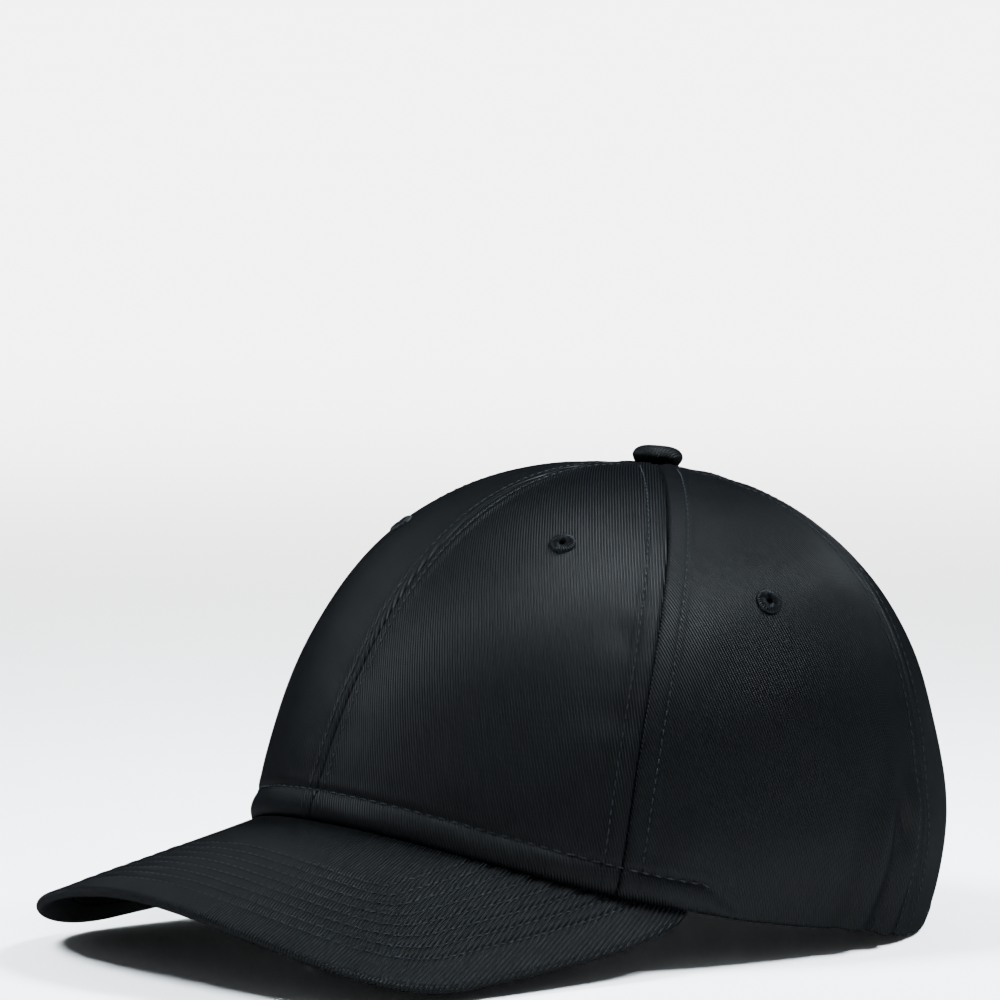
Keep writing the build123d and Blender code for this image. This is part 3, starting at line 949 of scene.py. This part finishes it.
def turned_piece(place, profile, columns, detail):
    """Surface of revolution with detail(turn, row) added along its own outward side."""
    centre, first, second, axis = place
    turns = np.linspace(0, 2 * np.pi, columns, endpoint=False)
    radius, height = np.asarray(profile, float).T
    spread, lift = detail(turns[None, :], np.arange(len(profile))[:, None])
    r = radius[:, None] + spread
    h = height[:, None] + lift
    out = (r * np.cos(turns))[..., None] * first + (r * np.sin(turns))[..., None] * second
    points = centre + out + (h + 0 * turns)[..., None] * axis
    faces = ring_faces(len(profile), columns)
    path = run_length(np.asarray(profile, float))[:, None]
    flat = np.stack([path * np.cos(turns), path * np.sin(turns)], -1)
    return points.reshape(-1, 3), faces, flat.reshape(-1, 2)


for part, (angle, level) in EYELETS.items():
    depth = 2.0 if part == "front" else 1.3
    for side_name, sign in SIDES:
        columns = EYELET_WRAPS * 8
        jitter = random.uniform(-0.12, 0.12, columns)
        length_jitter = np.repeat(random.uniform(-0.22, 0.12, EYELET_WRAPS), 8)
        section = [(EYELET_BORE, -depth)]
        wide = (EYELET_RADIUS - EYELET_BORE) / 2
        for turn in np.radians(np.linspace(180, 0, 13)):
            x = EYELET_BORE + wide + wide * math.cos(turn)
            rise = EYELET_RISE * max(0.0, math.sin(turn)) ** 0.8
            section.append((x, rise - EYELET_SINK))
        section += [(EYELET_RADIUS - 0.1, -depth), (EYELET_BORE, -depth)]

        def threads(turns, rows):
            count = len(section)
            ridge = np.abs(np.cos(turns * EYELET_WRAPS / 2 + 0.35 * np.sin(rows * 0.45)))
            body = np.sin(np.pi * np.clip((rows - 1) / (count - 4), 0, 1)) ** 0.6
            outside = ease(rows, count * 0.45, count * 0.85) * (rows < count - 2)
            spread = outside * np.broadcast_to(length_jitter, turns.shape)
            lift = body * (0.32 * ridge - 0.16 + 0.05 * jitter / 0.12)
            return spread, lift

        spot = crown(sign * angle, level)
        normal = crown_normal(sign * angle, level)
        lift = float(relief(sign * angle, level))
        place = frame_at(spot + normal * lift, normal)
        points, faces, _ = turned_piece(place, section, columns, threads)
        eyelet = new_piece(f"ring_{part}_{side_name}", points, faces, ring_thread)
        dress(eyelet, f"eyelet_{part}_{side_name}", "crown")

button_axis = unit(np.array([0.0, CROWN_LEAN, 1.0]))
button_foot = np.array([0.0, 0.0, CROWN_HEIGHT])
button_place = frame_at(button_foot, button_axis)


def dome(radius, height, base, rows=26):
    """Half outline of a round pad, from its crest to under its edge."""
    turns = np.radians(np.linspace(90, -35, rows))
    middle = base + (height - base) * 0.42
    out = radius * np.cos(turns) ** 0.62 * np.where(turns < 0, 1 - 0.11 * (-turns), 1)
    rise = np.where(turns > 0, (height - middle), (middle - base) * 1.75)
    return list(zip(np.maximum(out, 0.02), middle + rise * np.sin(turns)))


button_face = dome(BUTTON_RADIUS, BUTTON_HEIGHT, BUTTON_LOW)
button_back = [BUTTON_RADIUS - BUTTON_CLOTH, BUTTON_HEIGHT - BUTTON_CLOTH, BUTTON_LOW + BUTTON_CLOTH]
button_profile = button_face + dome(*button_back)[::-1]


def gathers(turns, rows):
    low = ease(rows, 15, 25) * (1 - ease(rows, 26, 30))
    pleat = 0.10 * np.cos(17 * turns) + 0.06 * np.cos(29 * turns + 1.0)
    return low * pleat, 0.05 * low * np.cos(17 * turns + 0.6)


points, faces, uv = turned_piece(button_place, button_profile, 120, gathers)
button = new_piece("button_cloth_cap", points, faces[:, ::-1], button_twill, uv)
dress(button, "button_cover", "crown")


# --- visor


def smooth_path(points, count):
    """Even points along a smooth curve through the given ones."""
    points = np.asarray(points, float)
    ends = np.concatenate([[2 * points[0] - points[1]], points, [2 * points[-1] - points[-2]]])
    curve = []
    for a, b, c, d in zip(ends[:-3], ends[1:-2], ends[2:-1], ends[3:]):
        t = np.linspace(0, 1, 24, endpoint=False)[:, None]
        bend = (2 * a - 5 * b + 4 * c - d) * t**2 + (-a + 3 * b - 3 * c + d) * t**3
        curve.append((2 * b + (c - a) * t + bend) / 2)
    curve = np.concatenate([*curve, points[-1:]])
    return spaced(curve, count)


def spaced(curve, count):
    along = run_length(curve)
    return picked(curve, along, np.linspace(0, along[-1], count))


def sheet_point(plan):
    return np.concatenate([plan, sheet_height(plan[..., 0], plan[..., 1])[..., None]], -1)


def sheet_normal(plan):
    x, y = plan[..., 0], plan[..., 1]
    slope_x = (sheet_height(x + 0.2, y) - sheet_height(x - 0.2, y)) / 0.4
    slope_y = (sheet_height(x, y + 0.2) - sheet_height(x, y - 0.2)) / 0.4
    return unit(np.stack([-slope_x, -slope_y, np.ones_like(x)], -1))


VISOR_HALF, VISOR_CORNER_Y, VISOR_REACH, VISOR_SQUARE = 81.8, -125.7, 59.3, 2.47
ROOT_INSET, ROOT_INSET_ENDS = 2.4, 2.8
root_x, root_line, _ = crown(VISOR_ANGLE, float(meeting_level(VISOR_ANGLE)))
half_outline = [
    (root_x - ROOT_INSET, root_line),
    (VISOR_HALF - 1.3, -62.0),
    (VISOR_HALF + 0.3, -80.0),
    (VISOR_HALF + 0.5, -104.0),
]
for turn in np.radians(np.arange(0, 90, 6)):
    x = VISOR_HALF * math.cos(turn) ** (2 / VISOR_SQUARE)
    ahead = VISOR_REACH * math.sin(turn) ** (2 / VISOR_SQUARE)
    half_outline.append((x, VISOR_CORNER_Y - ahead))
outline = half_outline + [(0.0, VISOR_CORNER_Y - VISOR_REACH)]
outline += [(-x, y) for x, y in reversed(half_outline)]
VISOR_COLS = 460
visor_outer = smooth_path(outline, VISOR_COLS)
root_angles = np.linspace(VISOR_ANGLE, -VISOR_ANGLE, 120)
root_plan = crown(root_angles, meeting_level(root_angles))
root_inset = ROOT_INSET + ROOT_INSET_ENDS * (root_angles / VISOR_ANGLE) ** 4
root_plan = root_plan[:, :2] * (1 - root_inset / np.hypot(*root_plan[:, :2].T))[:, None]
visor_inner = spaced(root_plan, VISOR_COLS)

edge = sheet_point(visor_outer)
edge_normal = sheet_normal(visor_outer)
edge_along = unit(np.gradient(edge, axis=0))
edge_inward = unit(np.cross(edge_along, edge_normal))
towards = sheet_point(visor_inner) - edge
edge_inward *= np.sign((edge_inward[VISOR_COLS // 2] * towards[VISOR_COLS // 2]).sum())


def edge_distance(points):
    """Distance of points on the visor from its outer edge, along the sheet."""
    flat = points.reshape(-1, 3)
    best = np.full(len(flat), 1e9)
    for start in range(0, len(flat), 4000):
        block = flat[start : start + 4000]
        best[start : start + 4000] = norm(block[:, None] - edge[None, ::2]).min(1)
    return best.reshape(points.shape[:-1])


def quilting(distance):
    """Relief of cloth sewn to the board in rows that follow the edge."""
    last = ROW_FIRST + ROW_STEP * (ROW_COUNT - 1)
    phase = (distance - ROW_FIRST) / ROW_STEP
    sewn = ease(distance, ROW_FIRST - 3, ROW_FIRST) * (1 - ease(distance, last, last + 3))
    height = 0.3 * sewn * (np.sin(np.pi * phase) ** 2 - 0.3)
    for number in range(ROW_COUNT):
        height = height - 0.42 * bell(distance, ROW_FIRST + number * ROW_STEP, 0.5)
    return height


def visor_sheet(depth, flip, first_share):
    """Grid over the visor between its root and the start of the rolled edge."""
    shares = np.linspace(0, 1, 96)[:, None, None]
    start = visor_inner[None, :, :]
    end = (edge + edge_inward * first_share)[None, :, :2]
    plan = start * (1 - shares) + end * shares
    points, normals = sheet_point(plan), sheet_normal(plan)
    distance = edge_distance(points)
    wave = 0.16 * soft_waves(plan[..., 0] * 1.3 + 40, plan[..., 1] * 1.3)
    stand = flip * (quilting(distance) + wave * ease(distance, 2, 8)) - depth
    return points + normals * stand[..., None], normals, distance, plan


# The plan is narrower than the curved cloth, so the weave is stretched back over it.
WEAVE_STRETCH = np.array([1.12, 1.02])
BOARD_DEPTH, BOARD_INSET = 0.7, 0.9

top_points, top_normals, top_distance, top_plan = visor_sheet(0.0, 1.0, EDGE_RADIUS)
roll_turns = np.radians(np.linspace(78, -80, 13))[:, None, None]
roll_middle = (edge + (edge_inward - edge_normal) * EDGE_RADIUS)[None]
roll_out = np.sin(roll_turns) * edge_normal[None] - np.cos(roll_turns) * edge_inward[None]
roll_core = roll_middle + (EDGE_RADIUS - COVER) * roll_out
top_outer = np.concatenate([top_points, roll_middle + EDGE_RADIUS * roll_out])
top_inner = np.concatenate([top_points - top_normals * COVER, roll_core])
roll_path = EDGE_RADIUS * (np.pi / 2 - roll_turns[..., 0])
roll_uv = visor_outer[None] - edge_inward[None, :, :2] * roll_path[..., None]
top_uv = np.concatenate([top_plan, roll_uv]) * WEAVE_STRETCH
visor_top = cloth_piece("visor_top_cloth", top_outer, top_inner, top_uv, visor_twill)
dress(visor_top, "visor_top_cover", "visor")

core_end = (edge + edge_inward * BOARD_INSET)[None, :, :2]
core_shares = np.linspace(0.01, 1, 60)[:, None, None]
core_plan = visor_inner[None] * (1 - core_shares) + core_end * core_shares
core_points, core_normals = sheet_point(core_plan), sheet_normal(core_plan)
core_top = core_points - core_normals * BOARD_DEPTH
core_base = core_points - core_normals * (VISOR_THICK - BOARD_DEPTH)
visor_core = cloth_piece("visor_stiff_board", core_top, core_base, core_plan, board)
dress(visor_core, "visor_board", "visor")

under_points, under_normals, under_distance, under_plan = visor_sheet(
    VISOR_THICK, -1.0, EDGE_RADIUS * 0.9
)
under_points = under_points + under_normals * 0.02
under_outer = under_points[:, ::-1]
under_inner = (under_points + under_normals * COVER)[:, ::-1]
under_uv = under_plan[:, ::-1] * WEAVE_STRETCH * (-1, 1)
visor_under = cloth_piece("visor_under_cloth", under_outer, under_inner, under_uv, visor_twill)
dress(visor_under, "visor_under_cover", "visor")


# --- stitches

# How far above the crown's lower edge the stitch rows beside each seam start.
THREAD_START = {0.0: 9.2, 53.6: 9.2, 107.2: 2.0, 180.0: 9.5}
HEM_END = 66.5


def stitch_template(length, width, height):
    """Short raised thread whose ends dive into the cloth."""
    rings, sides = 7, 6
    t = np.linspace(-1, 1, rings)[:, None]
    turns = 2 * np.pi * np.arange(sides) / sides
    thick = np.maximum(0.12, (1 - t * t) ** 0.4)
    x = t * length / 2 + 0 * turns
    y = width / 2 * thick * np.cos(turns)
    z = height / 2 * thick * np.sin(turns) + height * (0.55 - 1.5 * t**4)
    return np.stack([x, y, z], -1).reshape(-1, 3), ring_faces(rings, sides)[:, ::-1]


def sew(path, normals, pitch=STITCH_PITCH):
    """Centres, directions and normals of the stitches along a path."""
    along = run_length(path)
    count = max(2, int(along[-1] / pitch))
    marks = (np.arange(count) + 0.5) * along[-1] / count
    ahead = picked(path, along, marks + 0.6) - picked(path, along, marks - 0.6)
    return picked(path, along, marks), unit(ahead), unit(picked(normals, along, marks))


def stitch_piece(name, rows, body=None, length=1.95, width=0.42, height=0.34):
    """One mesh of all the stitches in some rows, each a little uneven."""
    template, faces = stitch_template(length, width, height)
    centres, along, up = (np.concatenate(column) for column in zip(*rows))
    count = len(centres)
    side = unit(np.cross(up, along))
    skew = random.normal(0, 0.07, count)[:, None]
    along = unit(along + side * skew)
    side = unit(np.cross(up, along))
    size = 1 + random.normal(0, 0.05, count)
    local = template[None] * np.stack([size, np.ones(count), np.ones(count)], -1)[:, None]
    points = centres[:, None] + local @ np.stack([along, side, up], 1)
    offsets = np.arange(count)[:, None, None] * len(template)
    faces = (faces[None] + offsets).reshape(-1, 4)
    piece = new_piece(name, points.reshape(-1, 3), faces, thread)
    carry(piece, body)


def crown_path(angles, levels):
    return skin(angles, levels), crown_normal(angles, levels)




seam_threads = {"front": [], "back": []}
for seam, (row, _) in SEAM_ROWS.items():
    central = seam in (0.0, 180.0)
    part = "front" if seam < 60 else "back"
    for side in (1,) if central else (1, -1):
        for offset in (-row, row):
            angle = math.copysign(seam, -offset) if seam == 180.0 else side * seam
            low = climb(abs(angle), bottom_level(abs(angle) - 0.01))
            start = low + THREAD_START[seam]
            lengths = np.linspace(start, climb(angle, TOP_LEVEL) - SEAM_TOP_GAP, 160)
            levels = level_at(np.clip(angle, -179.9, 179.9), lengths)
            angles = side_step(np.full(len(levels), angle), levels, offset)
            seam_threads[part].append(sew(*crown_path(angles, levels)))
stitch_piece("threads_front_seams", seam_threads["front"])
stitch_piece("threads_back_seams", seam_threads["back"], "crown")

hem_angles = np.linspace(-HEM_END, HEM_END, 500)
hem_lengths = climb(hem_angles, edge_level(hem_angles)) + roll_width(hem_angles)
hem_levels = np.array([level_at(a, up) for a, up in zip(hem_angles, hem_lengths)])
hem_row = sew(*crown_path(hem_angles, hem_levels), 3.6)
stitch_piece("threads_hem", [hem_row], None, 2.7, 0.5, 0.42)

arch_rows = []
for offset in ARCH_ROWS:
    spots = spine + spine_out * offset
    angles, levels = back_spot(spots[:, 0], np.maximum(spots[:, 2], 2.2))
    inside = spots[:, 2] > 2.0
    angles, levels = angles[inside], levels[inside]
    angles = np.where(angles > 180, angles - 360, angles)
    arch_rows.append(sew(*crown_path(angles, levels)))
stitch_piece("threads_arch", arch_rows, "crown")

band_rows_sewn = []
for offset in BAND_ROWS:
    row = int(np.abs(band_rows - offset).argmin())
    normal = -crown_normal(band_spread[row], band_levels[row])
    band_rows_sewn.append(sew(band_back[row], normal, 3.0))
stitch_piece("threads_sweatband", band_rows_sewn, None, 2.3)


def visor_rows(points, normals, distance, sign):
    """Stitch rows that follow the visor's edge, one for each dip of the quilting."""
    rows = []
    for number in range(ROW_COUNT):
        mark = ROW_FIRST + number * ROW_STEP
        path, up = [], []
        for column in range(0, VISOR_COLS, 2):
            reach = distance[:, column][::-1]
            if reach.max() < mark + 1.5:
                continue
            where = np.interp(mark, reach, np.arange(len(reach))[::-1])
            i = int(min(where, len(reach) - 2))
            f = where - i
            path.append(points[i, column] * (1 - f) + points[i + 1, column] * f)
            up.append(sign * normals[i, column])
        if len(path) > 4:
            rows.append(sew(np.array(path), np.array(up), 2.7))
    return rows


for name, sign, points, normals, distance in (
    ("threads_visor_top", 1, top_points, top_normals, top_distance),
    ("threads_visor_under", -1, under_points, under_normals, under_distance),
):
    stitch_piece(name, visor_rows(points, normals, distance, sign), "visor", 2.05)


# --- CAD pieces that stay

kept_nodes = {
    "button_core": plated,
    "button_washer": plated,
    "strap_tab_left": plastic,
    "strap_tab_right": plastic,
    "strap_outer": plastic,
    "strap_inner": plastic,
}
for node, finish in kept_nodes.items():
    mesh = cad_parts[node].data
    mesh.materials.clear()
    mesh.materials.append(finish)


# --- floor, light and camera


def floor_material():
    material, tree, shader = material_nodes("floor_paper", 0.75)
    mottle = noise(tree, object_coords(tree), 3.0, 3.0)
    colour = ramp(tree, mottle, (0.76, 0.76, 0.76), (0.8, 0.8, 0.8))
    feed(tree, shader, Base_Color=colour)
    return material


FLOOR_SIZE, FLOOR_DROP = 20000.0, 0.1
corners = [(x, y, -FLOOR_DROP / FLOOR_SIZE) for x, y in ((-1, -1), (1, -1), (1, 1), (-1, 1))]
corners = np.array(corners) * FLOOR_SIZE
floor = new_piece("floor", corners, [[0, 1, 2, 3]], floor_material())
floor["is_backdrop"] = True

world = bpy.data.worlds.new("studio")
world.use_nodes = True
sky = world.node_tree.nodes["Background"]
sky.inputs["Color"].default_value = (0.9, 0.95, 1.0, 1)
sky.inputs["Strength"].default_value = 0.3
bpy.context.scene.world = world

VIEW_AZIMUTH, VIEW_ELEVATION = 50.06, 6.785
VIEW_DISTANCE, VIEW_LENS = 1881.0, 243.4
LOOK_AT = np.array([0.0, -31.8, 68.9])
AIM_SHIFT_RIGHT, AIM_SHIFT_UP = -19.45, 50.5
SOFTBOX_COLOR, SOFTBOX_SPREAD = (0.86, 0.94, 1.0), 70
BACKDROP_AWAY, BACKDROP_UP = 9000.0, 3200.0


def towards_view(azimuth, elevation):
    """Unit vector from the cap towards an azimuth and elevation in degrees."""
    turn, rise = math.radians(azimuth), math.radians(elevation)
    flat = math.cos(rise)
    return np.array([math.sin(turn) * flat, -math.cos(turn) * flat, math.sin(rise)])


def aimed(name, data, place, target):
    thing = bpy.data.objects.new(name, data)
    thing.location = Vector(place) * MM
    direction = Vector(target) * MM - thing.location
    thing.rotation_euler = direction.to_track_quat("-Z", "Y").to_euler()
    bpy.context.scene.collection.objects.link(thing)
    return thing


def disk_light(name, size, power, spread, place, target, color=(1.0, 1.0, 1.0)):
    data = bpy.data.lights.new(name, "AREA")
    data.shape = "DISK"
    data.size = size * MM
    data.energy = power
    data.spread = math.radians(spread)
    data.color = color
    aimed(name, data, place, target)


# Azimuth, elevation, distance, size and power of each softbox.
SOFTBOXES = {
    "softbox_front": (-22, 56, 1400, 560, 14.5),
    "softbox_side": (146, 52, 1400, 560, 20),
    "softbox_back": (262, 50, 2200, 900, 2),
}
for name, (azimuth, elevation, distance, size, power) in SOFTBOXES.items():
    place = LOOK_AT + towards_view(azimuth, elevation) * distance
    disk_light(name, size, power, SOFTBOX_SPREAD, place, LOOK_AT, SOFTBOX_COLOR)
behind = LOOK_AT - towards_view(VIEW_AZIMUTH, 0) * BACKDROP_AWAY
disk_light("backdrop_light", 16000, 5000, 50, behind + (0, 0, BACKDROP_UP), behind)

view_back = towards_view(VIEW_AZIMUTH, VIEW_ELEVATION)
view_right = towards_view(VIEW_AZIMUTH + 90, 0)
view_up = np.cross(view_back, view_right)
view_from = LOOK_AT + view_back * VIEW_DISTANCE
view_to = LOOK_AT + view_right * AIM_SHIFT_RIGHT + view_up * AIM_SHIFT_UP
camera_data = bpy.data.cameras.new("camera")
camera_data.lens = VIEW_LENS
camera_data.sensor_width = 36.0
camera_data.clip_end = 60.0
bpy.context.scene.camera = aimed("camera", camera_data, view_from, view_to)

low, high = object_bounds()
